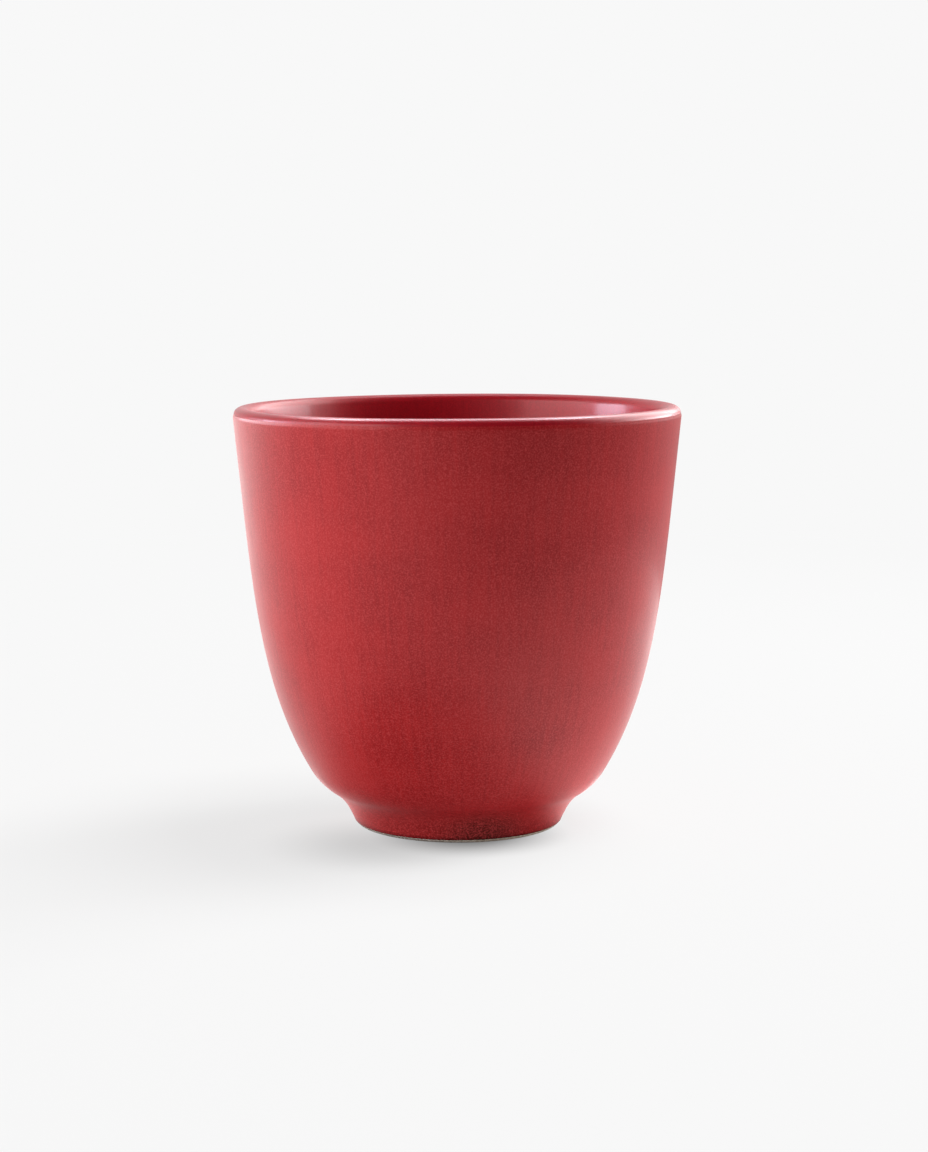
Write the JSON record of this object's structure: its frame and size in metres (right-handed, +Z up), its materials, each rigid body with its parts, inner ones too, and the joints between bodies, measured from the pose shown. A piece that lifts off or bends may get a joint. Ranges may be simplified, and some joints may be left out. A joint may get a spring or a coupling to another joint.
{
  "type": "tasting cup",
  "caption": "Small handleless stoneware cup with a full belly, straight upper wall, round lip and turned foot ring, coated inside and out in a satin red glaze.",
  "frame": {"origin": "centre of the circle on which the foot ring stands", "axes": "+Z up along the axis that the cup is turned about, towards the lip; the cup is round, so X and Y are free, and -Y faces the viewer"},
  "size_m": [0.07, 0.07, 0.0663],
  "materials": {
    "bare_stoneware": "matte, fired bare",
    "outer_red_glaze": "satin",
    "inner_red_glaze": "satin",
    "base_red_glaze": "satin"
  },
  "bodies": {
    "root": {"clay_body": "bare_stoneware", "outer_glaze": "outer_red_glaze", "inner_glaze": "inner_red_glaze", "base_glaze": "base_red_glaze"}
  },
  "joints": []
}
